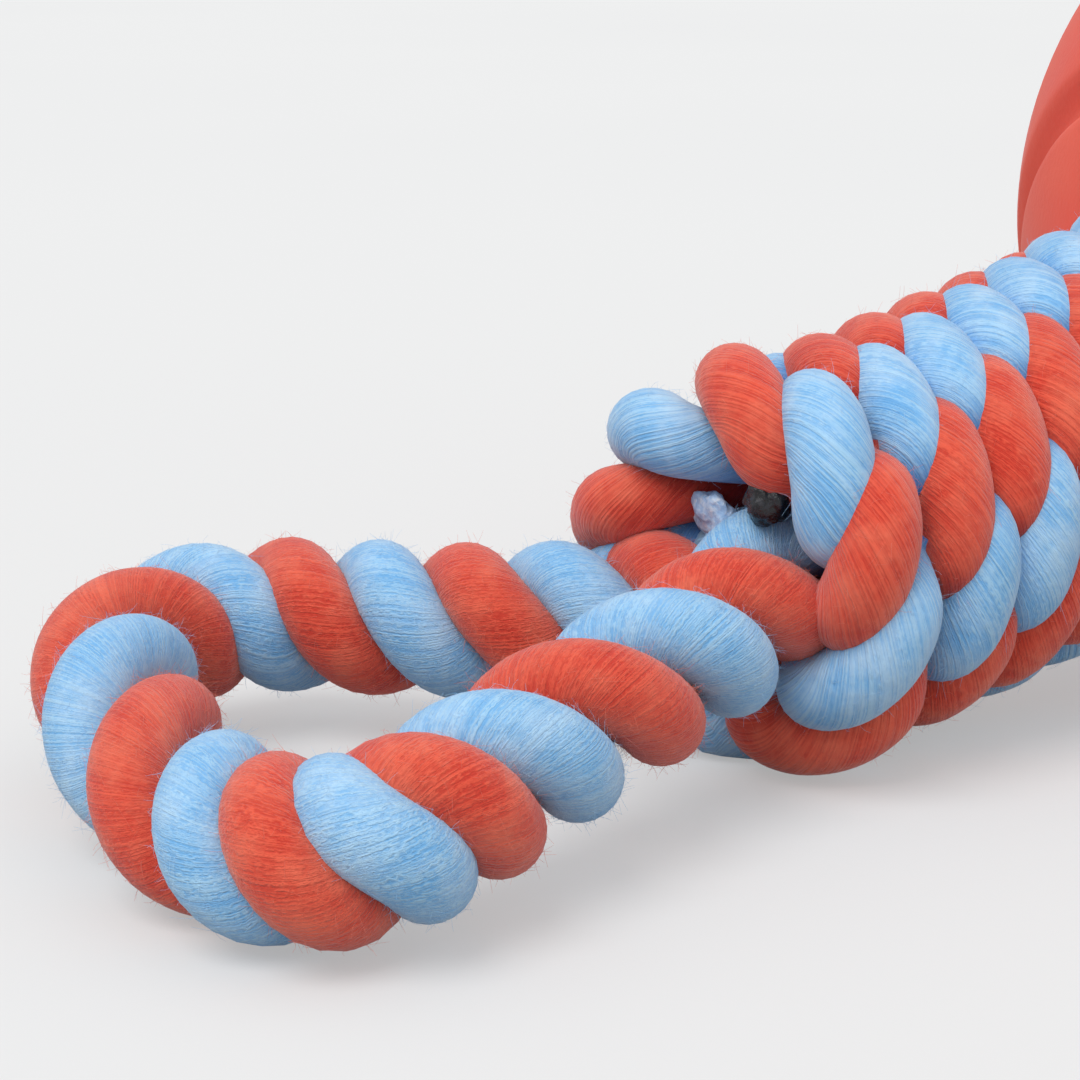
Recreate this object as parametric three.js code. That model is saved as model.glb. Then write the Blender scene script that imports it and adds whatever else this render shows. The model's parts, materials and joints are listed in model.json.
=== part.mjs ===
// Rope and ball tug toy for a dog, in millimetres with +Z up, lying on the ground.
// A hand loop of two-strand rope grows out of a round crown sennit of ten strands.
// The sennit runs through a grooved rubber ball and ends in a stopper and a short tassel.

import * as THREE from "three";

const degree = Math.PI / 180;

// Clearances
const seatGap = 0.3; // between soft strands that lie on each other
const ballGap = 0.4; // between the ball and the rope in its bore

// Round crown sennit of the handle, called the braid here
const strandDiameter = 8;
const strandPairs = 5; // strands of each colour
const handleStitches = 7; // layers of stitches from the loop to the ball
const stopperStitches = 2; // layers of stitches behind the ball
const fullness = 1.8; // power of the swell from squeezed to full
const petalFullness = 5; // power of the first stitch's swell from the end face to its top
const petalShare = 0.43; // share of a stitch from the end face to the top of the first stitch
const easeStitches = 0.75; // stitches over which a strand turns from straight to woven
const stitchTwist = -9 * degree; // slow turn of the columns from one layer to the next

// Sizes that follow from the strand, as shares of its diameter
const strandShares = {
  stitchPitch: 1.112, // from one layer of stitches to the next
  braidRadius: 1.638, // strand centre midway between over and under
  weaveDepth: 0.475, // how far a strand rises over and dives under it
  stitchWidth: 0.456, // strand half width on top of a stitch
  stitchHeight: 0.475, // strand half height on top of a stitch
  tucked: 0.33, // strand half size where it runs under another
  squeezedWidth: 0.13, // strand half width where it slips between two others
  squeezedHeight: 0.275, // strand half height there
  petalRadius: 1.7, // where a strand starts on the end face
  petalReach: 0.62, // how far the first stitches bulge in front of the braid
  petalEnd: 0.14, // half size of a strand where it starts
  bore: 0.375, // half size in the ball's bore
  boreRadius: 1.575, // strand centre in the ball's bore
  tassel: 0.431, // half size in the tassel
  tasselRadius: 1.575, // strand centre in the tassel
  core: 0.725, // radius of the core cord
  rope: 0.42, // half size in the rope of the loop
  ropeOffset: 0.519, // from the rope's centre line to its strands
  face: 0.385, // half size of the loop's strands in the end face
  faceOffset: 0.42,
  tail: 0.288, // half size of the loop's strands inside the braid
  tailOffset: 0.319,
  tailLength: 2, // how far the loop's strands run into the braid
  funnel: 0.75, // length over which they spread
  legStraight: 0.5, // how far the legs run straight in front of the end face
  legSpacing: 1.66, // between the two legs in front of the braid
};

// Course of the handle
const handleTiltStart = 9 * degree;
const handleTiltEnd = 19.5 * degree;
const tasselTilt = 5 * degree;

// Rubber ball
const ballDiameter = 98;
const boreMouthChamfer = 3.5;
const ballGrooveAngle = 42 * degree; // from the rope's axis
const ballGrooveWidth = 5;
const ballGrooveDepth = 2.6;

// Tassel
const tasselLength = 28;

// Hand loop of two-strand rope
const loopLength = 70;
const loopShares = { swell: 0.3143, fullness: 0.0757, ease: 0.0207 }; // shares of its length
const loopHeading = -10 * degree;
const loopDip = 10.4 * degree;
const loopReach = 0.86; // share of the loop's formula that is used
const loopHalfTurns = 16; // half turns of the two strands round each other

// Core cord
const coreStartGap = 1; // behind the ends of the loop's strands
const coreEndInset = 3; // from the core's end to the end of the tassel

// Melted ends on the end face
const charDiameter = 3.8;
const charRadius = 9.8; // from the handle's axis
const charAngle = 22 * degree;
const sealWidth = 4;
const sealThickness = 1.3;
const sealRadius = 9;
const sealAngle = -13 * degree;

// Facets
const strandSides = 6;
const ringsPerStitch = 8;
const boreRings = 2;
const tasselRings = 2;
const ropeSides = 7;
const ropeRingsPerHalfTurn = 5;
const ballSegments = 32;
const ballArcSteps = 8;
const grooveShares = [-0.6, -0.2, 0.2, 0.6];
const coreHalfSides = 5;
const coreSteps = 20;
const loopPoints = 16;
const quietRings = 6;
const beadSides = 10;
const beadRings = 6;
const shoulderSteps = 3;
const curveSamples = 600;

// Lengths that follow from the sizes above
const sized = (share) => share * strandDiameter;
const stitchPitch = sized(strandShares.stitchPitch);
const braidRadius = sized(strandShares.braidRadius);
const weaveDepth = sized(strandShares.weaveDepth);
const stitchHalfWidth = sized(strandShares.stitchWidth);
const stitchHalfHeight = sized(strandShares.stitchHeight);
const tuckedHalf = sized(strandShares.tucked);
const squeezedHalf = sized(strandShares.squeezedWidth);
const squeezedHeight = sized(strandShares.squeezedHeight);
const petalRadius = sized(strandShares.petalRadius);
const petalReach = sized(strandShares.petalReach);
const petalHalf = sized(strandShares.petalEnd);
const boreStrandHalf = sized(strandShares.bore);
const boreStrandRadius = sized(strandShares.boreRadius);
const tasselStrandHalf = sized(strandShares.tassel);
const tasselRadius = sized(strandShares.tasselRadius);
const coreRadius = sized(strandShares.core);
const ropeStrandHalf = sized(strandShares.rope);
const ropeStrandOffset = sized(strandShares.ropeOffset);
const faceStrandHalf = sized(strandShares.face);
const faceStrandOffset = sized(strandShares.faceOffset);
const tailStrandHalf = sized(strandShares.tail);
const tailStrandOffset = sized(strandShares.tailOffset);
const tailLength = sized(strandShares.tailLength);
const funnelLength = sized(strandShares.funnel);
const legStraight = sized(strandShares.legStraight);
const legSpacing = sized(strandShares.legSpacing);
const ballRadius = ballDiameter / 2;
const boreRadius = boreStrandRadius + boreStrandHalf + ballGap;
const columnAngle = Math.PI / strandPairs;
const easeLength = easeStitches * stitchPitch;
const firstStitch = seatGap;
const lastStitch = firstStitch + (handleStitches - 1) * stitchPitch;
const shoulderRadius = braidRadius + weaveDepth;
const mouthRadius = boreRadius + boreMouthChamfer;
const stitchLead = Math.atan(stitchPitch / (2 * columnAngle * shoulderRadius));
const mouthOnStitch = (mouthRadius - shoulderRadius) / stitchHalfHeight;
const stitchAtMouth = (stitchHalfWidth * Math.sqrt(1 - mouthOnStitch ** 2)) / Math.cos(stitchLead);
const ballReach = Math.sqrt(ballRadius ** 2 - mouthRadius ** 2);
const ballCentre = lastStitch + stitchAtMouth + ballGap + ballReach;
const boreStart = lastStitch + easeLength;
const boreEnd = 2 * ballCentre - boreStart;
const stopperStart = boreEnd + easeLength;
const stopperEnd = stopperStart + (stopperStitches - 1) * stitchPitch;
const tasselStart = stopperEnd + easeLength;
const tasselEnd = tasselStart + tasselLength;

// Smooth step from 0 to 1
function ease(x) {
  const c = Math.min(Math.max(x, 0), 1);
  return c * c * (3 - 2 * c);
}

// Point and tilt at the end of an arc whose tilt turns evenly from one angle to another
function arcStep(length, from, to) {
  const turn = to - from;
  if (Math.abs(turn) < 1e-6) {
    return new THREE.Vector2(Math.cos(from), Math.sin(from)).multiplyScalar(length);
  }
  const radius = length / turn;
  return new THREE.Vector2(Math.sin(to) - Math.sin(from), Math.cos(from) - Math.cos(to))
    .multiplyScalar(radius);
}

// Centre line of the handle: it rises to the ball, runs straight through it, then droops.
// Its first point is the middle of the end face, and distance is measured from there.
class HandleAxis extends THREE.Curve {
  constructor(start, end) {
    super();
    this.start = start;
    this.end = end;
    this.bends = [
      { length: boreStart, from: handleTiltStart, to: handleTiltEnd },
      { length: boreEnd - boreStart, from: handleTiltEnd, to: handleTiltEnd },
      { length: tasselEnd - boreEnd, from: handleTiltEnd, to: tasselTilt },
    ];
  }

  at(distance) {
    const point = new THREE.Vector2();
    let left = distance;
    let tilt = handleTiltStart;
    if (distance < 0) point.copy(arcStep(distance, tilt, tilt));
    for (const bend of this.bends) {
      if (left <= 0) break;
      const run = Math.min(left, bend.length);
      const to = bend.from + ((bend.to - bend.from) * run) / bend.length;
      point.add(arcStep(run, bend.from, to));
      tilt = to;
      left -= run;
    }
    return {
      centre: new THREE.Vector3(point.x, 0, point.y),
      along: new THREE.Vector3(Math.cos(tilt), 0, Math.sin(tilt)),
      up: new THREE.Vector3(-Math.sin(tilt), 0, Math.cos(tilt)),
      side: new THREE.Vector3(0, -1, 0),
    };
  }

  getPoint(t) {
    return this.at(this.start + t * (this.end - this.start)).centre;
  }
}

const axis = new HandleAxis(0, tasselEnd);

// Point at a distance along the handle, at a radius, at an angle from the top
function aroundAxis(distance, radius, angle) {
  const here = axis.at(distance);
  return here.centre
    .clone()
    .addScaledVector(here.up, radius * Math.cos(angle))
    .addScaledVector(here.side, radius * Math.sin(angle));
}

// Closed tube through rings, each with a centre, a height direction and two half sizes.
// Each ring stands square to the line through the rings' course points.
function ringTube(rings, sides) {
  const positions = [];
  const faces = [];
  rings.forEach((ring, i) => {
    const before = rings[Math.max(i - 1, 0)].course;
    const after = rings[Math.min(i + 1, rings.length - 1)].course;
    const along = after.clone().sub(before).normalize();
    const height = ring.height.clone().addScaledVector(along, -ring.height.dot(along)).normalize();
    const width = new THREE.Vector3().crossVectors(along, height);
    for (let k = 0; k < sides; k++) {
      const a = (2 * Math.PI * k) / sides;
      const point = ring.centre
        .clone()
        .addScaledVector(height, ring.halfHeight * Math.cos(a))
        .addScaledVector(width, ring.halfWidth * Math.sin(a));
      positions.push(point.x, point.y, point.z);
    }
  });
  for (let i = 0; i < rings.length - 1; i++) {
    for (let k = 0; k < sides; k++) {
      const a = i * sides + k;
      const b = i * sides + ((k + 1) % sides);
      faces.push(a, b, b + sides, a, b + sides, a + sides);
    }
  }
  const last = (rings.length - 1) * sides;
  for (let k = 1; k < sides - 1; k++) {
    faces.push(0, k + 1, k);
    faces.push(last, last + k, last + k + 1);
  }
  const geometry = new THREE.BufferGeometry();
  geometry.setAttribute("position", new THREE.Float32BufferAttribute(positions, 3));
  geometry.setIndex(faces);
  geometry.computeVertexNormals();
  return geometry;
}

// One strand of the braid from the end face to the tassel. All strands turn the same way.
// Stitches are counted from 0: on top at whole numbers, and half way between them the strand
// runs under a column of the other colour.
function braidStrand(column) {
  const rows = [];
  const angleAt = (stitch) => columnAngle * column - (2 * columnAngle - stitchTwist) * stitch;
  const put = (distance, radius, angle, halfWidth, halfHeight) => {
    const here = axis.at(distance);
    rows.push({
      centre: aroundAxis(distance, radius, angle),
      course: aroundAxis(distance, braidRadius, angle),
      height: here.up
        .clone()
        .multiplyScalar(Math.cos(angle))
        .addScaledVector(here.side, Math.sin(angle)),
      halfWidth,
      halfHeight,
    });
  };
  // The strand is full on top, slimmer below and narrow between two others
  const woven = (distance, stitch, settle, restRadius, restHalf) => {
    const wave = Math.cos(2 * Math.PI * stitch);
    const share = Math.abs(wave) ** fullness;
    const rest = ease(settle);
    const wide = wave > 0 ? stitchHalfWidth : tuckedHalf;
    const high = wave > 0 ? stitchHalfHeight : tuckedHalf;
    const width = squeezedHalf + (wide - squeezedHalf) * share;
    const height = squeezedHeight + (high - squeezedHeight) * share;
    const radius = braidRadius + weaveDepth * wave;
    put(
      distance,
      radius + (restRadius - radius) * rest,
      angleAt(stitch),
      width + (restHalf - width) * rest,
      height + (restHalf - height) * rest,
    );
  };
  // Stretch of stitches from the first to the last, with an eased run-in and run-out
  const run = (start, first, last, before, after) => {
    const from = before ? first - easeStitches : first;
    const steps = Math.round((last + easeStitches - from) * ringsPerStitch);
    for (let j = 0; j <= steps; j++) {
      const v = from + j / ringsPerStitch;
      const early = Math.max(first - v, 0) / easeStitches;
      const late = Math.max(v - last, 0) / easeStitches;
      let stitch = v;
      if (early > 0) stitch = first - (easeStitches / 2) * (1 - (1 - early) ** 2);
      if (late > 0) stitch = last + (easeStitches / 2) * (1 - (1 - late) ** 2);
      const rest = late > 0 ? after : before;
      const distance = start + (v - first) * stitchPitch;
      woven(distance, stitch, Math.max(early, late), rest ? rest.radius : 0, rest ? rest.half : 0);
    }
  };
  // First stitch, which comes out of the end face, bulges in front of it and goes over its rim
  const petalSteps = ringsPerStitch / 2;
  const petalLength = stitchPitch * petalShare;
  for (let j = 0; j < petalSteps; j++) {
    const v = j / petalSteps;
    const rise = Math.sin((Math.PI / 2) * v);
    const swell = v ** petalFullness;
    const back = petalLength * (1 - v) + (petalReach - petalLength) * (1 - ease(v));
    put(
      firstStitch - back,
      petalRadius + (shoulderRadius - petalRadius) * rise,
      angleAt((v - 1) * petalShare),
      petalHalf + (stitchHalfWidth - petalHalf) * swell,
      petalHalf + (stitchHalfHeight - petalHalf) * swell,
    );
  }
  const bore = { radius: boreStrandRadius, half: boreStrandHalf };
  const tassel = { radius: tasselRadius, half: tasselStrandHalf };
  run(firstStitch, 0, handleStitches - 1, null, bore);
  const boreStitch = handleStitches - 1 + easeStitches / 2;
  for (let j = 1; j < boreRings; j++) {
    const distance = boreStart + ((boreEnd - boreStart) * j) / boreRings;
    put(distance, boreStrandRadius, angleAt(boreStitch), boreStrandHalf, boreStrandHalf);
  }
  const stopperFirst = boreStitch + easeStitches / 2;
  run(stopperStart, stopperFirst, stopperFirst + stopperStitches - 1, bore, tassel);
  const tasselStitch = stopperFirst + stopperStitches - 1 + easeStitches / 2;
  for (let j = 1; j <= tasselRings; j++) {
    const distance = tasselStart + (tasselLength * j) / tasselRings;
    put(distance, tasselRadius, angleAt(tasselStitch), tasselStrandHalf, tasselStrandHalf);
  }
  return ringTube(rows, strandSides);
}

// Directions of the hand loop: outwards, across and square to its plane
const loopOut = new THREE.Vector3(
  -Math.cos(loopHeading) * Math.cos(loopDip),
  -Math.sin(loopHeading) * Math.cos(loopDip),
  -Math.sin(loopDip),
);
const loopAcross = new THREE.Vector3(-Math.sin(loopHeading), Math.cos(loopHeading), 0);
const loopNormal = new THREE.Vector3().crossVectors(loopAcross, loopOut);
if (loopNormal.z < 0) loopNormal.negate();

// Centre line of the loop's rope, from inside the braid, round the loop and back inside
function loopCurve() {
  const points = [];
  const inside = (depth, offset) =>
    axis.at(depth).centre.clone().addScaledVector(loopAcross, offset);
  points.push(inside(tailLength, -tailStrandOffset));
  points.push(inside(funnelLength, -tailStrandOffset));
  points.push(inside(0, -faceStrandOffset));
  points.push(inside(-legStraight, -faceStrandOffset));
  for (let i = 0; i <= loopPoints; i++) {
    const t = loopReach * ((2 * i) / loopPoints - 1);
    const out = loopLength * Math.cos((Math.PI / 2) * t);
    const across =
      loopLength * loopShares.swell * Math.sin(Math.PI * t) +
      loopLength * loopShares.fullness * Math.sin(2 * Math.PI * t) -
      loopLength * loopShares.ease * Math.sin(3 * Math.PI * t) +
      (legSpacing / 2) * Math.sin((Math.PI / 2) * t);
    points.push(loopOut.clone().multiplyScalar(out).addScaledVector(loopAcross, across));
  }
  points.push(inside(-legStraight, faceStrandOffset));
  points.push(inside(0, faceStrandOffset));
  points.push(inside(funnelLength, tailStrandOffset));
  points.push(inside(tailLength, tailStrandOffset));
  return new THREE.CatmullRomCurve3(points, false, "centripetal");
}

// One of the two strands of the loop's rope. Side is 1 or -1.
function ropeStrand(side) {
  const curve = loopCurve();
  curve.arcLengthDivisions = curveSamples;
  const total = curve.getLength();
  const quiet = tailLength + funnelLength;
  const distances = [];
  for (let i = 0; i < quietRings; i++) distances.push((quiet * i) / quietRings);
  const turning = loopHalfTurns * ropeRingsPerHalfTurn;
  for (let i = 0; i <= turning; i++) distances.push(quiet + ((total - 2 * quiet) * i) / turning);
  for (let i = 1; i <= quietRings; i++) {
    distances.push(total - quiet + (quiet * i) / quietRings);
  }
  const rings = distances.map((distance) => {
    const u = distance / total;
    const centre = curve.getPointAt(u);
    const along = curve.getTangentAt(u);
    const normal = loopNormal.clone().addScaledVector(along, -loopNormal.dot(along)).normalize();
    const cross = new THREE.Vector3().crossVectors(along, normal);
    const turned = Math.min(Math.max((distance - quiet) / (total - 2 * quiet), 0), 1);
    const angle = Math.PI * loopHalfTurns * turned;
    const depth = tailLength - Math.min(distance, total - distance);
    const toFace = ease((funnelLength - depth) / funnelLength);
    const toRope = ease(-depth / funnelLength);
    const offset =
      tailStrandOffset +
      (faceStrandOffset - tailStrandOffset) * toFace +
      (ropeStrandOffset - faceStrandOffset) * toRope;
    const half =
      tailStrandHalf +
      (faceStrandHalf - tailStrandHalf) * toFace +
      (ropeStrandHalf - faceStrandHalf) * toRope;
    const middle = centre
      .clone()
      .addScaledVector(normal, side * offset * Math.cos(angle))
      .addScaledVector(cross, side * offset * Math.sin(angle));
    return {
      centre: middle,
      course: middle,
      height: normal
        .clone()
        .multiplyScalar(Math.cos(angle))
        .addScaledVector(cross, Math.sin(angle)),
      halfWidth: half,
      halfHeight: half,
    };
  });
  return ringTube(rings, ropeSides);
}

// Core cord that fills the braid behind the loop's strands
function coreCord() {
  const section = new THREE.Shape();
  section.absarc(0, 0, coreRadius, 0, 2 * Math.PI);
  const path = new HandleAxis(tailLength + coreStartGap, tasselEnd - coreEndInset);
  return new THREE.ExtrudeGeometry(section, {
    steps: coreSteps,
    curveSegments: coreHalfSides,
    bevelEnabled: false,
    extrudePath: path,
  });
}

// Ball as a turned profile round the rope's axis, with a bore and a ring groove near each end
function ballGeometry() {
  const profile = [];
  const onBall = (angle, depth) =>
    new THREE.Vector2(
      (ballRadius - depth) * Math.sin(angle),
      -(ballRadius - depth) * Math.cos(angle),
    );
  const mouthAngle = Math.asin(mouthRadius / ballRadius);
  const grooveHalf = ballGrooveWidth / 2 / ballRadius;
  const mouthHeight = ballRadius * Math.cos(mouthAngle);
  profile.push(new THREE.Vector2(boreRadius, -mouthHeight + boreMouthChamfer));
  const arc = (from, to, steps) => {
    for (let i = 0; i <= steps; i++) profile.push(onBall(from + ((to - from) * i) / steps, 0));
  };
  const groove = (angle) => {
    for (const share of grooveShares) {
      const depth = ballGrooveDepth * Math.cos((Math.PI / 2) * share);
      profile.push(onBall(angle + grooveHalf * share, depth));
    }
  };
  arc(mouthAngle, ballGrooveAngle - grooveHalf, shoulderSteps);
  groove(ballGrooveAngle);
  arc(ballGrooveAngle + grooveHalf, Math.PI - ballGrooveAngle - grooveHalf, ballArcSteps);
  groove(Math.PI - ballGrooveAngle);
  arc(Math.PI - ballGrooveAngle + grooveHalf, Math.PI - mouthAngle, shoulderSteps);
  profile.push(new THREE.Vector2(boreRadius, mouthHeight - boreMouthChamfer));
  profile.push(profile[0].clone());
  return new THREE.LatheGeometry(profile, ballSegments);
}

// Materials
const redCotton = new THREE.MeshStandardMaterial({ color: 0xc8402f, roughness: 0.85 });
const blueCotton = new THREE.MeshStandardMaterial({ color: 0x62a4dc, roughness: 0.85 });
const paleCotton = new THREE.MeshStandardMaterial({ color: 0xe6e2da, roughness: 0.9 });
const redRubber = new THREE.MeshStandardMaterial({ color: 0xd2452f, roughness: 0.45 });
const blackChar = new THREE.MeshStandardMaterial({ color: 0x1c1d22, roughness: 0.6 });
const paleSeal = new THREE.MeshStandardMaterial({ color: 0xb9cfe4, roughness: 0.35 });

function named(name, geometry, material) {
  const mesh = new THREE.Mesh(geometry, material);
  mesh.name = name;
  return mesh;
}

// Ball turned on its own axis and set on the rope
function ball() {
  const mesh = named("rubber_ball", ballGeometry(), redRubber);
  const here = axis.at(ballCentre);
  mesh.quaternion.setFromUnitVectors(new THREE.Vector3(0, 1, 0), here.along);
  mesh.position.copy(here.centre);
  return mesh;
}

// Burnt bead on the end of a strand that was cut with heat
function charredTip() {
  const bead = new THREE.SphereGeometry(charDiameter / 2, beadSides, beadRings);
  const mesh = named("charred_tip", bead, blackChar);
  const reach = petalHalf + seatGap + charDiameter / 2;
  mesh.position.copy(aroundAxis(-reach, charRadius, charAngle));
  return mesh;
}

// Flat bead of melted fibre that seals the strand ends on the end face
function sealPatch() {
  const bead = new THREE.SphereGeometry(sealWidth / 2, beadSides, beadRings);
  const mesh = named("heat_seal_patch", bead, paleSeal);
  const here = axis.at(0);
  const reach = petalHalf + seatGap + sealThickness / 2;
  mesh.scale.set(1, sealThickness / sealWidth, 1);
  mesh.quaternion.setFromUnitVectors(new THREE.Vector3(0, 1, 0), here.along);
  mesh.position.copy(aroundAxis(-reach, sealRadius, sealAngle));
  return mesh;
}

const toy = new THREE.Group();
toy.add(named("loop_strand_red", ropeStrand(1), redCotton));
toy.add(named("loop_strand_blue", ropeStrand(-1), blueCotton));
for (let i = 0; i < strandPairs; i++) {
  toy.add(named(`braid_strand_red_${i + 1}`, braidStrand(2 * i), redCotton));
  toy.add(named(`braid_strand_blue_${i + 1}`, braidStrand(2 * i + 1), blueCotton));
}
toy.add(named("core_cord", coreCord(), paleCotton));
toy.add(ball());
toy.add(charredTip());
toy.add(sealPatch());

// The origin is under the middle of the toy, on the ground that it lies on
const box = new THREE.Box3().setFromObject(toy, true);
const middle = box.getCenter(new THREE.Vector3());
toy.position.set(-middle.x, -middle.y, -box.min.z);
const group = new THREE.Group();
group.add(toy);

export default group;
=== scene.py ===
"""Rope and ball tug toy for a dog: soft cotton strands, a grooved rubber ball, melted ends.

Lengths are in millimetres, and MM turns them into metres where a mesh is made. The handle's
place and the ball's tilt come from the frame's joint, and the sizes are those of the solids,
made a little fuller where soft strands press on each other.
"""

import json
import math
import random
from collections import namedtuple

import bmesh
import bpy
from mathutils import Matrix, Vector, noise


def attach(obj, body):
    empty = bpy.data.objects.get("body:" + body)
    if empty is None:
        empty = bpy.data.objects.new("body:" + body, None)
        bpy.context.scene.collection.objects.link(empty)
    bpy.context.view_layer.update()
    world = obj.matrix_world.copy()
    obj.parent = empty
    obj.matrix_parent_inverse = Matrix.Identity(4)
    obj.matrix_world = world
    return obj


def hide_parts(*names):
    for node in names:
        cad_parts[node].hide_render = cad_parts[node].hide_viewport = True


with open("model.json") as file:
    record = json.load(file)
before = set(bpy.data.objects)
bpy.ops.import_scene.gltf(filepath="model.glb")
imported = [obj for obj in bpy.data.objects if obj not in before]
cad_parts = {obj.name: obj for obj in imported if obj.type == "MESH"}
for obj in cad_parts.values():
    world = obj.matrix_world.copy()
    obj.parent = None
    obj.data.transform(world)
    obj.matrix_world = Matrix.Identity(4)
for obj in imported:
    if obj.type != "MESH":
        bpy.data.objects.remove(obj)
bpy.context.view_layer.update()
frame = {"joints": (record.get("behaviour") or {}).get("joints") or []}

MM = 0.001
PER_MM = 1000  # for a pattern that is laid out in metres

# Sizes of the handle. A distance is measured along its course from the near end face

STRAND = 8.0  # diameter of a cotton strand
STITCH_PITCH = 1.112 * STRAND  # from one layer of stitches to the next
BRAID_RADIUS = 1.638 * STRAND  # strand's middle half way between over and under
COLUMN_ANGLE = math.radians(36)  # from one strand to the next round the handle
STITCH_TURN = math.radians(-81)  # how far a strand goes round the handle in one stitch
HANDLE_STITCHES, STOPPER_STITCHES = 7, 2
EASE_STITCHES = 0.75  # stitches over which a strand turns from woven to straight
FIRST_STITCH = 0.3
BALL_CENTRE = 101.91
TASSEL_LENGTH = 28.0
BORE_STRAND_RADIUS = 1.575 * STRAND  # strand's middle in the ball's bore and in the tassel
BORE_STRAND_HALF = 0.375 * STRAND
TASSEL_STRAND_HALF = 3.5

BORE_START = FIRST_STITCH + (HANDLE_STITCHES - 1 + EASE_STITCHES) * STITCH_PITCH
BORE_END = 2 * BALL_CENTRE - BORE_START
STOPPER_START = BORE_END + EASE_STITCHES * STITCH_PITCH
TASSEL_START = STOPPER_START + (STOPPER_STITCHES - 1 + EASE_STITCHES) * STITCH_PITCH
TASSEL_END = TASSEL_START + TASSEL_LENGTH

# Stitch numbers, which go on counting where the strands lie straight
LAST_STITCH = HANDLE_STITCHES - 1
BORE_STITCH = LAST_STITCH + EASE_STITCHES / 2
STOPPER_STITCH = BORE_STITCH + EASE_STITCHES / 2
TASSEL_STITCH = STOPPER_STITCH + STOPPER_STITCHES - 1 + EASE_STITCHES / 2

# Course of the handle

BALL_SPIN = next(joint for joint in frame["joints"] if joint["name"] == "ball_spin")
BALL_AXIS = Vector(BALL_SPIN["axis"])
TILT_START = math.radians(9)
TILT_BALL = math.atan2(BALL_AXIS.z, BALL_AXIS.x)
TILT_TASSEL = math.radians(5)
# Length of each stretch, and its tilt at the start and at the end
HANDLE_BENDS = (
    (BORE_START, TILT_START, TILT_BALL),
    (BORE_END - BORE_START, TILT_BALL, TILT_BALL),
    (TASSEL_END - BORE_END, TILT_BALL, TILT_TASSEL),
)
SIDE = Vector((0, -1, 0))  # to the right, seen from the near end
SMALLEST = 1e-6


def ease(x):
    """Smooth step from 0 to 1."""
    x = min(max(x, 0.0), 1.0)
    return x * x * (3 - 2 * x)


def mix(a, b, share):
    return a + (b - a) * share


def arc_step(length, start, end):
    """Offset along an arc whose tilt turns evenly from start to end."""
    if abs(end - start) < SMALLEST:
        return Vector((math.cos(start), 0, math.sin(start))) * length
    radius = length / (end - start)
    return Vector((
        math.sin(end) - math.sin(start), 0, math.cos(start) - math.cos(end)
    )) * radius


def handle_course(distance):
    """Offset from the end face, direction and upward direction at a distance."""
    offset = Vector()
    tilt = TILT_START
    left = distance
    if distance < 0:
        offset += arc_step(distance, tilt, tilt)
    for length, start, end in HANDLE_BENDS:
        if left <= 0:
            break
        run = min(left, length)
        tilt = mix(start, end, run / length)
        offset += arc_step(run, start, tilt)
        left -= run
    along = Vector((math.cos(tilt), 0, math.sin(tilt)))
    up = Vector((-math.sin(tilt), 0, math.cos(tilt)))
    return offset, along, up


# Middle of the near end face
NEAR_END = Vector(BALL_SPIN["pos_m"]) / MM - handle_course(BALL_CENTRE)[0]


def handle_at(distance):
    """Centre, direction and upward direction of the handle at a distance."""
    offset, along, up = handle_course(distance)
    return NEAR_END + offset, along, up


def outwards(distance, angle):
    """Direction at an angle from the top, clockwise seen from the near end."""
    up = handle_at(distance)[2]
    return up * math.cos(angle) + SIDE * math.sin(angle)


def around_handle(distance, radius, angle):
    return handle_at(distance)[0] + outwards(distance, angle) * radius


def smooth_course(points, steps):
    """Points on a centripetal curve through the given ones, which may have any size."""
    first = points[0] * 2 - points[1]
    last = points[-1] * 2 - points[-2]
    line = [first, *points, last]
    course = []
    for i in range(1, len(line) - 2):
        p = line[i - 1:i + 3]
        t = [0.0]
        for a, b in zip(p, p[1:]):
            t.append(t[-1] + max((b - a).length, SMALLEST) ** 0.5)
        for k in range(steps):
            x = mix(t[1], t[2], k / steps)

            def between(a, b, i, j):
                return a * ((t[j] - x) / (t[j] - t[i])) + b * ((x - t[i]) / (t[j] - t[i]))

            a1, a2, a3 = (between(p[n], p[n + 1], n, n + 1) for n in range(3))
            b1, b2 = between(a1, a2, 0, 2), between(a2, a3, 1, 3)
            course.append(between(b1, b2, 1, 2))
    course.append(line[-2].copy())
    return course


def direction_at(course, i):
    """Direction of a list of points at one of them."""
    return (course[min(i + 1, len(course) - 1)] - course[max(i - 1, 0)]).normalized()


def square_to(along, direction):
    """The part of a direction that stands square to another."""
    return (direction - along * direction.dot(along)).normalized()


# Camera

CAMERA_FALL = math.radians(14)
CAMERA_HEADING = math.radians(57)
CAMERA_LEFT, CAMERA_ABOVE, CAMERA_BACK = 25, 2, 260  # from the middle of the end face
FOCAL_PIXELS, FRAME_PIXELS = 2600, 1080  # focal length and width of the photograph
SENSOR_WIDTH = 36
NEAREST_SEEN, FURTHEST_SEEN = 0.01, 50  # metres


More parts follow.
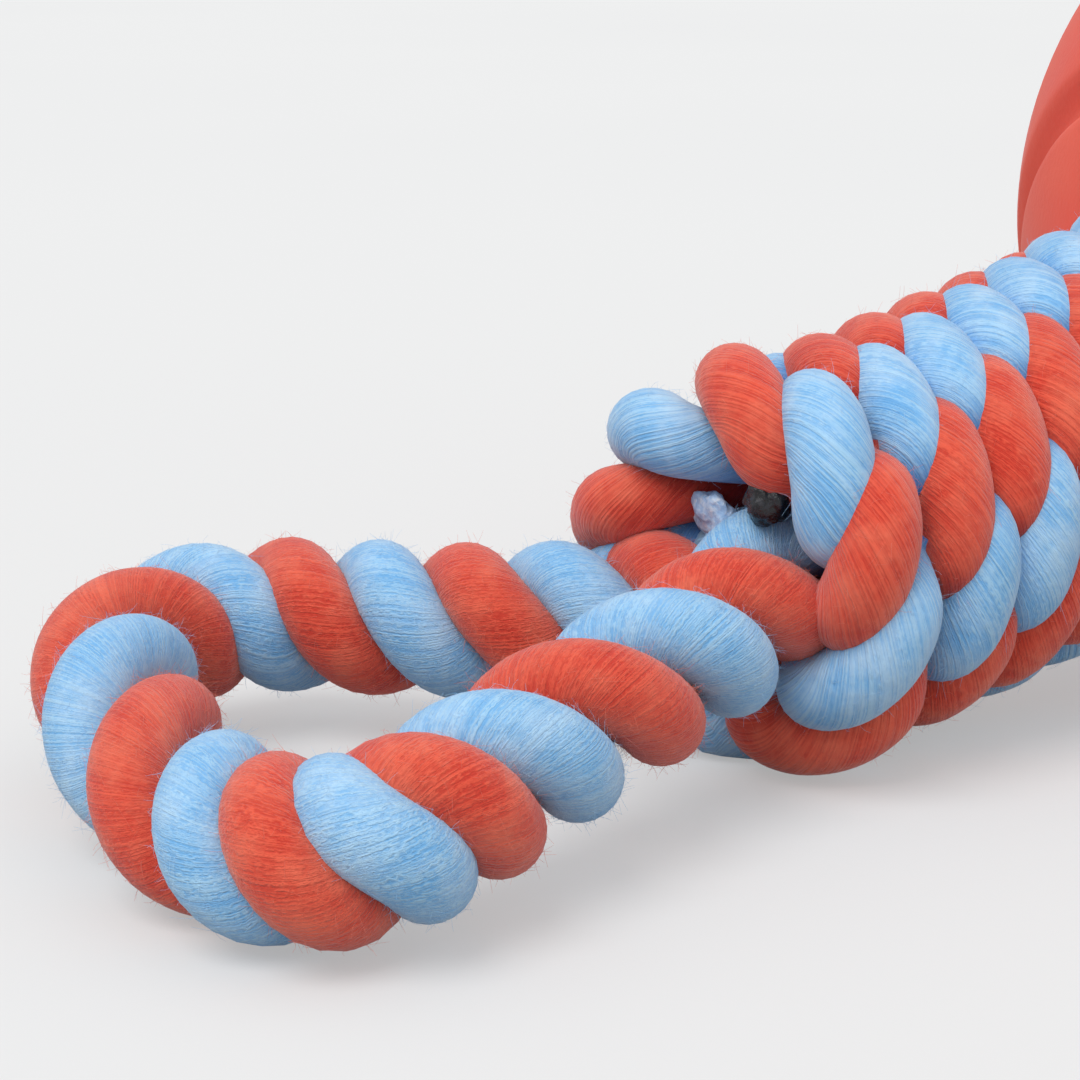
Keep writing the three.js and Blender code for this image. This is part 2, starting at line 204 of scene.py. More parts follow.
def place_camera():
    """Camera at the photograph's angle, set out from the middle of the end face."""
    ahead = Vector((
        math.cos(CAMERA_HEADING) * math.cos(CAMERA_FALL),
        math.sin(CAMERA_HEADING) * math.cos(CAMERA_FALL),
        -math.sin(CAMERA_FALL),
    ))
    right = Vector((math.sin(CAMERA_HEADING), -math.cos(CAMERA_HEADING), 0))
    above = right.cross(ahead)
    lens = bpy.data.cameras.new("camera")
    lens.sensor_width = SENSOR_WIDTH
    lens.lens = FOCAL_PIXELS / FRAME_PIXELS * SENSOR_WIDTH
    lens.clip_start, lens.clip_end = NEAREST_SEEN, FURTHEST_SEEN
    camera = bpy.data.objects.new("camera", lens)
    eye = NEAR_END - right * CAMERA_LEFT + above * CAMERA_ABOVE - ahead * CAMERA_BACK
    turned = Matrix((right, above, -ahead)).transposed().to_4x4()
    camera.matrix_world = Matrix.Translation(eye * MM) @ turned
    bpy.context.scene.collection.objects.link(camera)
    bpy.context.scene.camera = camera


place_camera()

# Swept strands

# One section of a strand. cover is 1 on top of a stitch and 0 where the strand is tucked under. It
# sets how much painted shade the strand gets, and where its worn patches and loose fibres go
Ring = namedtuple("Ring", "centre along height half_width half_height cover")


def ring_place(ring):
    """Matrix that takes a circle of radius 1 to the section."""
    width = ring.along.cross(ring.height)
    place = Matrix((
        width * ring.half_width * MM, ring.height * ring.half_height * MM, ring.along * MM
    )).transposed().to_4x4()
    place.translation = ring.centre * MM
    return place


def sweep_strand(bm, rings, sides, twist, thread_radius=STRAND / 2, start=0.0):
    """Draw a circle of edges along the rings and close both ends.

    The thread layer holds a place in the unrolled strand in mm: points that share it lie on
    one thread, which winds round the strand by twist radians a millimetre.
    """
    thread = bm.verts.layers.float_vector["thread"]
    cover = bm.verts.layers.float["cover"]
    verts = bmesh.ops.create_circle(bm, segments=sides, radius=1.0)["verts"]
    turn = {v: math.atan2(v.co.y, v.co.x) for v in verts}
    edges = list({e for v in verts for e in v.link_edges})
    bmesh.ops.contextual_create(bm, geom=edges)
    place = ring_place(rings[0])
    bmesh.ops.transform(bm, matrix=place, verts=verts)
    length = start
    for i, ring in enumerate(rings):
        if i:
            made = bmesh.ops.extrude_edge_only(bm, edges=edges)["geom"]
            verts = [g for g in made if isinstance(g, bmesh.types.BMVert)]
            new = set(verts)
            edges = [
                g for g in made
                if isinstance(g, bmesh.types.BMEdge) and new.issuperset(g.verts)
            ]
            before = turn
            turn = {
                v: next(before[e.other_vert(v)] for e in v.link_edges if e.other_vert(v) in before)
                for v in verts
            }
            next_place = ring_place(ring)
            bmesh.ops.transform(bm, matrix=next_place @ place.inverted(), verts=verts)
            place = next_place
            length += (ring.centre - rings[i - 1].centre).length
        for v in verts:
            wound = turn[v] + twist * length
            v[thread] = Vector((
                thread_radius * math.cos(wound), thread_radius * math.sin(wound), length
            ))
            v[cover] = ring.cover
    bmesh.ops.contextual_create(bm, geom=edges)


def new_strand_mesh():
    bm = bmesh.new()
    bm.verts.layers.float_vector.new("thread")
    bm.verts.layers.float.new("cover")
    return bm


def finish_piece(name, bm, material, body, nodes=()):
    """Close a bmesh into a named object that rides on a body."""
    bmesh.ops.recalc_face_normals(bm, faces=bm.faces)
    for face in bm.faces:
        face.smooth = True
    mesh = bpy.data.meshes.new(name)
    bm.to_mesh(mesh)
    bm.free()
    mesh.materials.append(material)
    piece = bpy.data.objects.new(name, mesh)
    bpy.context.scene.collection.objects.link(piece)
    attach(piece, body)
    if nodes:
        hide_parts(*nodes)


# Materials

def linear(hex_colour):
    """An sRGB hex colour as Blender's linear colour."""
    channels = [int(hex_colour[i:i + 2], 16) / 255 for i in (0, 2, 4)]
    return [c / 12.92 if c <= 0.04045 else ((c + 0.055) / 1.055) ** 2.4 for c in channels] + [1.0]


def add_node(material, kind, links=None, **settings):
    """Add a node. A link is given as another node's socket, and any other value is set."""
    node = material.node_tree.nodes.new(kind)
    for name, value in settings.items():
        setattr(node, name, value)
    for name, value in (links or {}).items():
        socket = node.inputs[name]
        if isinstance(value, bpy.types.NodeSocket):
            material.node_tree.links.new(value, socket)
        else:
            socket.default_value = value
    return node


def new_material(name):
    material = bpy.data.materials.new(name)
    material.use_nodes = True
    material.node_tree.nodes.clear()
    return material


def close_material(material, shader):
    add_node(material, "ShaderNodeOutputMaterial", {"Surface": shader.outputs[0]})
    return material


def finish_material(material, sockets):
    """Close a material with the shader whose sockets are given."""
    return close_material(material, add_node(material, "ShaderNodeBsdfPrincipled", sockets))


def object_place(material):
    return add_node(material, "ShaderNodeTexCoord").outputs["Object"]


def mesh_value(material, layer, output):
    """A value that each point of the mesh holds in a layer of its own."""
    return add_node(
        material, "ShaderNodeAttribute", attribute_type="GEOMETRY", attribute_name=layer
    ).outputs[output]


def noise_value(material, place, scale, detail, roughness=0.5, distortion=0.0):
    return add_node(
        material, "ShaderNodeTexNoise",
        {
            "Vector": place, "Scale": scale, "Detail": detail,
            "Roughness": roughness, "Distortion": distortion,
        },
    ).outputs["Fac"]


def calculated(material, operation, first, second):
    return add_node(
        material, "ShaderNodeMath", {0: first, 1: second}, operation=operation
    ).outputs[0]


def ranged(material, value, low, high, to_low=0.0, to_high=1.0):
    """A value's range stretched to another, with soft ends."""
    return add_node(
        material, "ShaderNodeMapRange",
        {"Value": value, 1: low, 2: high, 3: to_low, 4: to_high},
        interpolation_type="SMOOTHSTEP",
    ).outputs[0]


def raised(material, height, strength, depth):
    """Bump with a depth in millimetres."""
    return add_node(
        material, "ShaderNodeBump", {"Height": height, "Strength": strength, "Distance": depth * MM}
    ).outputs[0]


# A mix node's colour sockets: factor, two colours and the result
MIX_FACTOR, MIX_A, MIX_B, MIX_RESULT = 0, 6, 7, 2


def blend_colours(material, factor, first, second):
    """Colour between two others, which are given as hex colours or as sockets."""
    first, second = (linear(c) if isinstance(c, str) else c for c in (first, second))
    return add_node(
        material, "ShaderNodeMix", {MIX_FACTOR: factor, MIX_A: first, MIX_B: second},
        data_type="RGBA",
    ).outputs[MIX_RESULT]


# Colours of a dyed strand: a painted shade for where it is tucked under, between its threads, on
# them, and worn
Dye = namedtuple("Dye", "deep body light worn")


def brushed_cotton(name, dye):
    """Dyed cotton strand, spun from hundreds of fine threads and felted by wear.

    The threads show as fine slanting lines and the felting as soft lighter patches. Where a strand
    is tucked under its neighbours, a painted shade makes it darker and more saturated.
    """
    material = new_material(name)
    threads = mesh_value(material, "thread", "Vector")
    cover = mesh_value(material, "cover", "Fac")
    # Real threads are 0.25 mm thick. These are 0.3 mm so that they show, and 8 mm long
    drawn = add_node(
        material, "ShaderNodeMapping", {"Vector": threads, "Scale": (1.0, 1.0, 0.04)}
    ).outputs[0]
    lines = noise_value(material, drawn, 3.1, 2.0, 0.6, 0.1)
    # Threads lie in bundles of 1.3 mm, and the felting comes in patches of 5 mm
    bundles = noise_value(material, drawn, 0.8, 1.0)
    felt = noise_value(material, object_place(material), 0.21 * PER_MM, 4.0, 0.6)
    dyed = blend_colours(material, ranged(material, lines, 0.39, 0.61), dye.body, dye.light)
    bundled = blend_colours(
        material, ranged(material, bundles, 0.3, 0.7, 0.35, 0.0), dyed, dye.body
    )
    # Painted shade: towards the tucked-under ends of a stitch the colour goes darker and more
    # saturated, following the cover value
    tucked = blend_colours(
        material, ranged(material, cover, 0.0, 0.85, 0.95, 0.0), bundled, dye.deep
    )
    rubbed = calculated(
        material, "MULTIPLY",
        ranged(material, felt, 0.35, 0.75), ranged(material, cover, 0.5, 1.0, 0.0, 0.55),
    )
    return finish_material(material, {
        "Base Color": blend_colours(material, rubbed, tucked, dye.worn),
        "Normal": raised(material, calculated(material, "ADD", lines, felt), 0.7, 0.4),
        "Roughness": 0.8, "IOR": 1.5, "Specular IOR Level": 0.25,
        "Sheen Weight": 0.35, "Sheen Roughness": 0.5,
    })


def loose_fibre(name, shade, light):
    """Single cotton fibres that stand off the strands, paler than the dyed strand below."""
    material = new_material(name)
    # The dye changes along a fibre every 1 mm or so
    change = noise_value(material, object_place(material), 0.9 * PER_MM, 1.0)
    return finish_material(material, {
        "Base Color": blend_colours(material, change, shade, light),
        "Roughness": 0.9, "Specular IOR Level": 0.1, "Sheen Weight": 0.3,
    })


def moulded_rubber(name, body, light):
    """Moulded natural rubber: satin, with a fine speckle and a faint bloom from handling."""
    material = new_material(name)
    place = object_place(material)
    # Grain of the mould is about 0.25 mm, drawn 0.6 mm so that it shows. Bloom is 17 mm
    grain = noise_value(material, place, 1.6 * PER_MM, 3.0, 0.6)
    bloom = noise_value(material, place, 0.06 * PER_MM, 5.0, 0.6)
    return finish_material(material, {
        "Base Color": blend_colours(
            material, ranged(material, bloom, 0.35, 0.75, 0.0, 0.6), body, light
        ),
        "Normal": raised(material, grain, 0.22, 0.3),
        "Roughness": ranged(material, bloom, 0.3, 0.7, 0.42, 0.58),
        "IOR": 1.52, "Specular IOR Level": 0.4,
    })


def melted_fibre(name, body, light, roughness, hollow_roughness):
    """Cotton and binder that a hot knife melted: glassy beads with dull hollows."""
    material = new_material(name)
    # Blisters of 0.7 mm
    lumps = noise_value(material, object_place(material), 1.4 * PER_MM, 4.0, 0.6)
    return finish_material(material, {
        "Base Color": blend_colours(material, ranged(material, lumps, 0.4, 0.75), body, light),
        "Normal": raised(material, lumps, 0.6, 0.4),
        "Roughness": ranged(material, lumps, 0.35, 0.7, roughness, hollow_roughness),
    })


# The first colour of each dye is the painted shade for where a strand is tucked under
red_cotton = brushed_cotton("red_dyed_cotton", Dye("8E1014", "CE3826", "EA583E", "F48062"))
blue_cotton = brushed_cotton("blue_dyed_cotton", Dye("2268C0", "70B2E8", "A2D0F0", "C8E2F6"))
undyed_cotton = brushed_cotton("undyed_cotton", Dye("B8AFA0", "D8D1C4", "E8E3D8", "F2EEE6"))
red_fibre = loose_fibre("red_loose_fibre", "D8604C", "F0917B")
blue_fibre = loose_fibre("blue_loose_fibre", "84B8E6", "BFE0F8")
ball_rubber = moulded_rubber("red_moulded_rubber", "E8523E", "F06C56")
scorched_end = melted_fibre("scorched_melted_fibre", "0B0C10", "303138", 0.10, 0.40)
sealed_end = melted_fibre("pale_melted_fibre", "A4C4E8", "E2ECF8", 0.25, 0.55)

# Strands of the sennit

STRAND_PAIRS = 5
RINGS_PER_STITCH = 26
STRAND_SIDES = 24
THREAD_TWIST = -0.30  # radians a millimetre: S-laid threads at 50 degrees to the strand
TOP_RADIUS, UNDER_RADIUS = 16.9, 9.4
TOP_HALF_WIDTH, TOP_HALF_HEIGHT = 3.9, 4.0
UNDER_HALF_WIDTH, UNDER_HALF_HEIGHT = 1.2, 2.2
RISE_POWER, SWELL_POWER = 4.2, 2.2  # a higher power gives a longer flat top
LOW_ROUNDING = 0.03  # share of a stitch over which its low end is rounded off
# A stitch's cover, and with it the painted shade, changes as the stitch goes under its neighbour
COVER_FALL = 1.25  # how much sooner than it slims a stitch goes under its neighbour
# Straight stretches in the bore and the tassel count as partly covered and get a little painted
# shade
STRAIGHT_COVER = 0.6
LEVEL_SHARE = 0.75  # how far a level section turns from its own course to the braid's
ROW_GAP = 0.3  # least distance between two stretches of sections
BORE_ROWS, TASSEL_ROWS = 10, 12
BORE_RUN_OUT = 15.0  # behind the last straight section in the bore
TASSEL_BASE = 7.0  # length of the whole strand in front of its loose yarns
TASSEL_BASE_HALF = 2.9

# One section of a strand round the handle. level is 1 where the section stands square to the
# braid's surface and 0 where it stands square to the strand's own course
Row = namedtuple("Row", "distance radius angle half_width half_height cover level")


def stitch_angle(column, stitch):
    return COLUMN_ANGLE * column + STITCH_TURN * stitch


def dive(stitch, power):
    """0 on top of a stitch and 1 half way between two, with the low end rounded off."""
    def at(place):
        return (2 * abs(place - round(place))) ** power

    return (at(stitch - LOW_ROUNDING) + at(stitch) + at(stitch + LOW_ROUNDING)) / 3


def woven_row(column, distance, stitch, rest, rest_half):
    """Section of a strand that weaves over and under. At rest 1 it lies straight."""
    low = dive(stitch, RISE_POWER)
    slim = dive(stitch, SWELL_POWER)
    return Row(
        distance,
        mix(mix(TOP_RADIUS, UNDER_RADIUS, low), BORE_STRAND_RADIUS, rest),
        stitch_angle(column, stitch),
        mix(mix(TOP_HALF_WIDTH, UNDER_HALF_WIDTH, slim), rest_half, rest),
        mix(mix(TOP_HALF_HEIGHT, UNDER_HALF_HEIGHT, slim), rest_half, rest),
        mix(1 - ease(slim * COVER_FALL), STRAIGHT_COVER, rest),
        1.0,
    )


def woven_run(column, start, first, last, half_before, half_after):
    """Sections of a stretch of stitches, from start on, with the strand straight behind it.

    Where half_before is given, the strand is straight in front of the stretch too.
    """
    begin = first - EASE_STITCHES if half_before else first
    steps = round((last + EASE_STITCHES - begin) * RINGS_PER_STITCH)
    rows = []
    for j in range(steps + 1):
        v = begin + j / RINGS_PER_STITCH
        early = max(first - v, 0.0) / EASE_STITCHES
        late = max(v - last, 0.0) / EASE_STITCHES
        stitch = v
        if early > 0:
            stitch = first - EASE_STITCHES / 2 * (1 - (1 - early) ** 2)
        if late > 0:
            stitch = last + EASE_STITCHES / 2 * (1 - (1 - late) ** 2)
        rows.append(woven_row(
            column, start + (v - first) * STITCH_PITCH, stitch, ease(max(early, late)),
            half_before if early > 0 else half_after,
        ))
    return rows


def straight_run(column, stitch, start, end, count, half_from, half_to):
    """Sections of a straight stretch in the ball's bore or in the tassel."""
    rows = []
    for j in range(1, count + 1):
        half = mix(half_from, half_to, j / count)
        rows.append(Row(
            mix(start, end, j / count), BORE_STRAND_RADIUS, stitch_angle(column, stitch),
            half, half, STRAIGHT_COVER, 1.0,
        ))
    return rows


# First stitch of a strand at the end face: it comes out of the hole in the middle, bulges
# forwards and goes over the rim. Distance, radius, degrees from the stitch's top, half size,
# cover
PETAL_COURSE = (
    (14.0, 7.2, 50.0, 2.0, 0.0),
    (5.0, 7.8, 46.0, 2.2, 0.0),
    (1.2, 9.0, 40.0, 2.6, 0.15),
    (-3.0, 11.0, 33.0, 3.2, 0.5),
    (-6.7, 13.6, 24.0, 3.8, 1.0),
    (-6.2, 16.2, 11.0, 4.1, 1.0),
    (-3.4, 17.8, -5.0, 4.0, 1.0),
    (-0.2, 17.7, -18.0, 3.4, 0.8),
    (3.4, 14.6, -31.0, 2.2, 0.4),
)
PETAL_STEPS = 9
LEVEL_FROM = 0.7  # share of the course from which its sections turn level
# The end face leans: how far its top and its near side lie behind its middle, at the radius
FACE_LEAN_TOP, FACE_LEAN_SIDE, FACE_LEAN_RADIUS = 1.3, 2.1, 15
# Hand-laid first stitches differ. By column: degrees turned, mm outwards, mm forwards
PETAL_LAY = {
    0: (0, 1.4, 0.3), 1: (0, 1.8, -0.3), 2: (-3, 1.0, -0.3),
    7: (-8, 0, 2.0), 8: (-13, 0.5, 2.5), 9: (-12, 1.3, 1.0),
}
AS_LAID_OUT = (0, 0, 0)
LOOSE_RATE = 3  # the lay is full from a third of the course from either end


def petal_rows(column):
    """Sections of a strand's first stitch."""
    course = smooth_course([Vector(row) for row in PETAL_COURSE], PETAL_STEPS)
    turned_by, outwards_by, forwards_by = PETAL_LAY.get(column, AS_LAID_OUT)
    rows = []
    for i, (distance, radius, angle, half, cover) in enumerate(course):
        share = i / (len(course) - 1)
        loose = ease(share * LOOSE_RATE) * ease((1 - share) * LOOSE_RATE)
        turned = stitch_angle(column, 0) + math.radians(angle + turned_by * loose)
        lean = FACE_LEAN_TOP * math.cos(turned) + FACE_LEAN_SIDE * math.sin(turned)
        lean *= radius / FACE_LEAN_RADIUS * (1 - ease(2 * share - 1))
        rows.append(Row(
            distance + lean - forwards_by * loose, radius + outwards_by * loose, turned,
            half, half, cover, ease((share - LEVEL_FROM) / (1 - LEVEL_FROM)),
        ))
    return rows


def rows_to_rings(rows):
    """Sections in the toy's own space."""
    centres = [around_handle(row.distance, row.radius, row.angle) for row in rows]
    for centre, row in zip(centres, rows):
        centre.z = max(centre.z, row.half_height)  # on the floor and not in it
    surface = [around_handle(row.distance, BRAID_RADIUS, row.angle) for row in rows]
    rings = []
    for i, row in enumerate(rows):
        level = direction_at(surface, i)
        along = direction_at(centres, i).lerp(level, LEVEL_SHARE * row.level).normalized()
        rings.append(Ring(
            centres[i], along, square_to(along, outwards(row.distance, row.angle)),
            row.half_width, row.half_height, row.cover,
        ))
    # In front of the braid the height direction is carried back from the first level section
    settled = next(i for i, row in enumerate(rows) if row.level > 0.5)
    height = rings[settled].height
    for i in reversed(range(settled)):
        height = square_to(rings[i].along, height)
        rings[i] = rings[i]._replace(height=height)
    return rings


def strand_rings(column):
    """Sections of a whole strand, from the end face through the ball to the tassel."""
    runs = (
        woven_run(column, FIRST_STITCH, 0, LAST_STITCH, None, BORE_STRAND_HALF),
        straight_run(column, BORE_STITCH, BORE_START, BORE_END - BORE_RUN_OUT, BORE_ROWS,
                     BORE_STRAND_HALF, BORE_STRAND_HALF),
        woven_run(column, STOPPER_START, STOPPER_STITCH, STOPPER_STITCH + STOPPER_STITCHES - 1,
                  BORE_STRAND_HALF, TASSEL_STRAND_HALF),
        straight_run(column, TASSEL_STITCH, TASSEL_START, TASSEL_START + TASSEL_BASE,
                     TASSEL_ROWS, TASSEL_STRAND_HALF, TASSEL_BASE_HALF),
    )
    rows = petal_rows(column)
    for run in runs:
        reached = rows[-1].distance
        rows += [row for row in run if row.distance > reached + ROW_GAP]
    return rows_to_rings(rows)


def sennit_strands():
    """Ten strands, red and blue in turn. Returns the rings of each by name."""
    made = {}
    for pair in range(STRAND_PAIRS):
        for colour, cotton, offset in (("red", red_cotton, 0), ("blue", blue_cotton, 1)):
            rings = strand_rings(2 * pair + offset)
            bm = new_strand_mesh()
            sweep_strand(bm, rings, STRAND_SIDES, THREAD_TWIST)
            name = f"{colour}_sennit_strand_{pair + 1}"
            finish_piece(name, bm, cotton, "rope",
                         [f"braid_strand_{colour}_{pair + 1}"])
            made[name] = rings
    return made


# Hand loop

LOOP_HEADING = math.radians(-10)
LOOP_DIP = math.radians(10.2)
TAIL_LENGTH = 2 * STRAND  # how far the rope runs into the braid
FUNNEL_LENGTH = 0.75 * STRAND  # over which its strands spread at the end face
# Half size of a strand in the braid, in the end face and in the open rope, and how far its
# middle lies from the rope's
TAIL_HALF, FACE_HALF, ROPE_HALF = 2.4, 3.3, 4.1
TAIL_OFFSET, FACE_OFFSET, ROPE_OFFSET = 2.55, 3.36, 3.95
PLY_SIDES = 24
PLY_RINGS = 440
PLY_TWIST = -0.62  # radians a millimetre, against the turn of the ply round the rope
# The loop's cover is low inside the braid and at the end face, so its strands get a painted shade
# there. The shade fades over the first few mm in front of the face
PLY_COVER = 0.9
PLY_COVER_LENGTH, PLY_COVER_START = 3.0, 0.2  # how the cover grows in front of the end face
COURSE_STEPS, LAY_STEPS = 60, 20

# Course of the rope's middle: out of the braid, round from the near leg to the far one, and
# back. The legs are given as distance, across, lifted, and the rest as outwards, across,
# lifted
LEG_OUT = (
    (TAIL_LENGTH, -TAIL_OFFSET, 0), (FUNNEL_LENGTH, -TAIL_OFFSET, 0),
    (0, -FACE_OFFSET, 0), (-4, -FACE_OFFSET - 0.5, 0),
)
LOOP_PLAN = (
    (9.5, -9, -0.5), (19, -15, 0), (34.5, -23, 0), (48, -30.5, 0), (57.5, -34, 0),
    (63.5, -29.5, 0), (67.5, -17.5, 0.5), (68, 1, 2.5), (64.5, 19, 3), (57, 28, 2),
    (48, 29, 0.5), (41, 25, -0.5), (34, 19.5, -1.5), (26, 13.5, -2.5), (16, 9, -3.5),
)
LEG_BACK = (
    (-5, FACE_OFFSET + 1, -2.5), (0, FACE_OFFSET, -1),
    (FUNNEL_LENGTH, TAIL_OFFSET, 0), (TAIL_LENGTH, TAIL_OFFSET, 0),
)
# How the two strands turn round each other: distance along the rope, half turns. The rope
# is wrung tighter in its bends, as in the photo
LOOP_LAY = (
    (0, -1.9), (22, -0.85), (42, 0.8), (65, 2.7), (75, 3.7), (82, 4.7), (88, 5.7),
    (96, 6.8), (110, 7.9), (130, 9.15), (150, 10.45), (160, 11.4), (180, 13.5),
    (198, 15.4), (215, 16.9), (238, 17.9),
)
# Directions of the loop's plane
LOOP_OUT = Vector((
    -math.cos(LOOP_HEADING) * math.cos(LOOP_DIP),
    -math.sin(LOOP_HEADING) * math.cos(LOOP_DIP),
    -math.sin(LOOP_DIP),
))
LOOP_ACROSS = Vector((-math.sin(LOOP_HEADING), math.cos(LOOP_HEADING), 0))
LOOP_UP = LOOP_ACROSS.cross(LOOP_OUT)


def loop_course():
    """Evenly spaced points on the rope's centre line, and its length."""
    def inside(distance, across, lifted):
        return handle_at(distance)[0] + LOOP_ACROSS * across + LOOP_UP * lifted

    def outside(out, across, lifted):
        return NEAR_END + LOOP_OUT * out + LOOP_ACROSS * across + LOOP_UP * lifted

    points = [inside(*point) for point in LEG_OUT]
    points += [outside(*point) for point in LOOP_PLAN]
    points += [inside(*point) for point in LEG_BACK]
    dense = smooth_course(points, COURSE_STEPS)
    reached = [0.0]
    for a, b in zip(dense, dense[1:]):
        reached.append(reached[-1] + (b - a).length)
    course, k = [], 0
    for i in range(PLY_RINGS + 1):
        goal = reached[-1] * i / PLY_RINGS
        while k < len(dense) - 2 and reached[k + 1] < goal:
            k += 1
        share = (goal - reached[k]) / (reached[k + 1] - reached[k])
        course.append(dense[k].lerp(dense[k + 1], share))
    return course, reached[-1]


def lay_angle(lay, distance):
    """Angle of the strands round the rope's middle at a distance along it."""
    k = next((k for k in range(1, len(lay)) if lay[k].x > distance), len(lay) - 1)
    share = (distance - lay[k - 1].x) / (lay[k].x - lay[k - 1].x)
    return math.pi * mix(lay[k - 1].y, lay[k].y, share)


def ply_rings(side):
    """Sections of one of the rope's two strands. side is 1 or -1."""
    course, total = loop_course()
    lay = smooth_course([Vector(place) for place in LOOP_LAY], LAY_STEPS)
    centres, heights, halves, covers = [], [], [], []
    for i, centre in enumerate(course):
        distance = total * i / PLY_RINGS
        along = direction_at(course, i)
        normal = square_to(along, LOOP_UP)
        angle = lay_angle(lay, distance)
        out = (normal * math.cos(angle) + along.cross(normal) * math.sin(angle)) * side
        depth = TAIL_LENGTH - min(distance, total - distance)
        to_face = ease((FUNNEL_LENGTH - depth) / FUNNEL_LENGTH)
        to_rope = ease(-depth / FUNNEL_LENGTH)
        offset = mix(mix(TAIL_OFFSET, FACE_OFFSET, to_face), ROPE_OFFSET, to_rope)
        half = mix(mix(TAIL_HALF, FACE_HALF, to_face), ROPE_HALF, to_rope)
        place = centre + out * offset
        place.z = max(place.z, half)  # on the floor and not in it
        centres.append(place)
        heights.append(out)
        halves.append(half)
        covers.append(PLY_COVER * ease(-depth / PLY_COVER_LENGTH + PLY_COVER_START))
    rings = []
    for i, centre in enumerate(centres):
        along = direction_at(centres, i)
        rings.append(Ring(
            centre, along, square_to(along, heights[i]), halves[i], halves[i], covers[i]
        ))
    return rings


def loop_plies():
    """The two strands of the hand loop's rope. Returns the rings of each by name."""
    made = {}
    for side, colour, cotton in ((1, "red", red_cotton), (-1, "blue", blue_cotton)):
        rings = ply_rings(side)
        bm = new_strand_mesh()
        sweep_strand(bm, rings, PLY_SIDES, PLY_TWIST)
        name = f"{colour}_loop_ply"
        finish_piece(name, bm, cotton, "rope", [f"loop_strand_{colour}"])
        made[name] = rings
    return made


# Core cord

CORE_RADIUS = 0.725 * STRAND
CORE_START_GAP = 1.0  # behind the ends of the loop's strands
CORE_END_INSET = 3.0  # from its end to the end of the tassel
CORE_STEPS, CORE_SIDES = 90, 32
CORE_TWIST = 0.2
CORE_COVER = 0.8


def core_cord():
    """Undyed cord that fills the middle of the braid."""
    rings = []
    for j in range(CORE_STEPS + 1):
        share = j / CORE_STEPS
        distance = mix(TAIL_LENGTH + CORE_START_GAP, TASSEL_END - CORE_END_INSET, share)
        rings.append(Ring(*handle_at(distance), CORE_RADIUS, CORE_RADIUS, CORE_COVER))
    bm = new_strand_mesh()
    sweep_strand(bm, rings, CORE_SIDES, CORE_TWIST, CORE_RADIUS)
    finish_piece("undyed_core_cord", bm, undyed_cotton, "rope", ["core_cord"])


# Tassel

YARN_RINGS = ((1, 0.0), (6, 1.45), (12, 2.8))  # yarns in a strand: how many, at what radius
YARN_HALF, YARN_THINNING = 0.82, 0.25
YARN_STEPS, YARN_SIDES = 12, 7
YARN_TWIST, YARN_THREAD_RADIUS = -1.1, 0.8
YARN_START = 3.0  # behind the start of the tassel
YARN_TURN = 0.6  # how far the yarns go on turning round their strand
YARN_SWAY, YARN_WAVE = 0.9, 3  # how far a yarn bends off its line, and how soon
YARN_CLOSE = 0.75  # share of its radius at which a yarn starts
YARN_OPENING = 1.3  # how soon it opens
# The yarns' cover rises along them, so their painted shade fades from the base towards the tips
YARN_COVER_START, YARN_COVER_GROWTH = 0.45, 0.5
YARN_SHIFT = 90  # furthest that a yarn's thread pattern is moved, in mm
YARN_SEED = 17


def yarn_rings(angle, radius, turn, end, spread, sway):
    """Sections of one yarn of the strand that lies at an angle round the handle."""
    rings = []
    for j in range(YARN_STEPS + 1):
        share = j / YARN_STEPS
        centre, along, up = handle_at(mix(TASSEL_START + YARN_START, end, share))
        out = up * math.cos(angle) + SIDE * math.sin(angle)
        opened = radius * mix(YARN_CLOSE, spread, ease(share * YARN_OPENING))
        turned = turn + YARN_TURN * share
        bent_out, bent_across = (
            YARN_SWAY * share * size * math.sin(YARN_WAVE * share + shift)
            for size, shift in (sway[:2], sway[2:])
        )
        half = YARN_HALF - YARN_THINNING * share ** 4
        rings.append(Ring(
            centre + out * (BORE_STRAND_RADIUS + opened * math.cos(turned) + bent_out)
            + along.cross(out) * (opened * math.sin(turned) + bent_across),
            along, up, half, half, YARN_COVER_START + YARN_COVER_GROWTH * share,
        ))
    return rings


def tassel_yarns(colour, cotton, offset):
    """Yarns of each cut strand, which open out a little and end unevenly."""
    chance = random.Random(YARN_SEED + offset)
    bm = new_strand_mesh()
    for pair in range(STRAND_PAIRS):
        angle = stitch_angle(2 * pair + offset, TASSEL_STITCH)
        for count, radius in YARN_RINGS:
            for k in range(count):
                turn = 2 * math.pi * k / count + chance.uniform(-0.25, 0.25)
                end = TASSEL_END - chance.uniform(0.5, 4.5)
                spread = chance.uniform(0.9, 1.35)
                sway = [chance.uniform(-1, 1) for _ in range(4)]
                rings = yarn_rings(angle, radius, turn, end, spread, sway)
                sweep_strand(bm, rings, YARN_SIDES, YARN_TWIST, YARN_THREAD_RADIUS,
                             chance.uniform(0, YARN_SHIFT))
    finish_piece(f"{colour}_tassel_yarns", bm, cotton, "rope")


# Rubber ball

BALL_RADIUS = 49.0
BORE_RADIUS = 16.0
MOUTH_ROUND = 3.6
GROOVE_ANGLE = math.radians(42)  # from the rope's axis
GROOVE_HALF = math.radians(3.3)
GROOVE_DEPTH = 2.6
GROOVE_SPREAD, GROOVE_POWER = 1.25, 0.8  # how wide and how square its sides run out
BALL_PRESS = 1.6  # how far the soft mouth sits over the last layer of stitches
BALL_ARC_STEPS, MOUTH_STEPS, BORE_STEPS, BALL_TURN_STEPS = 150, 8, 12, 144


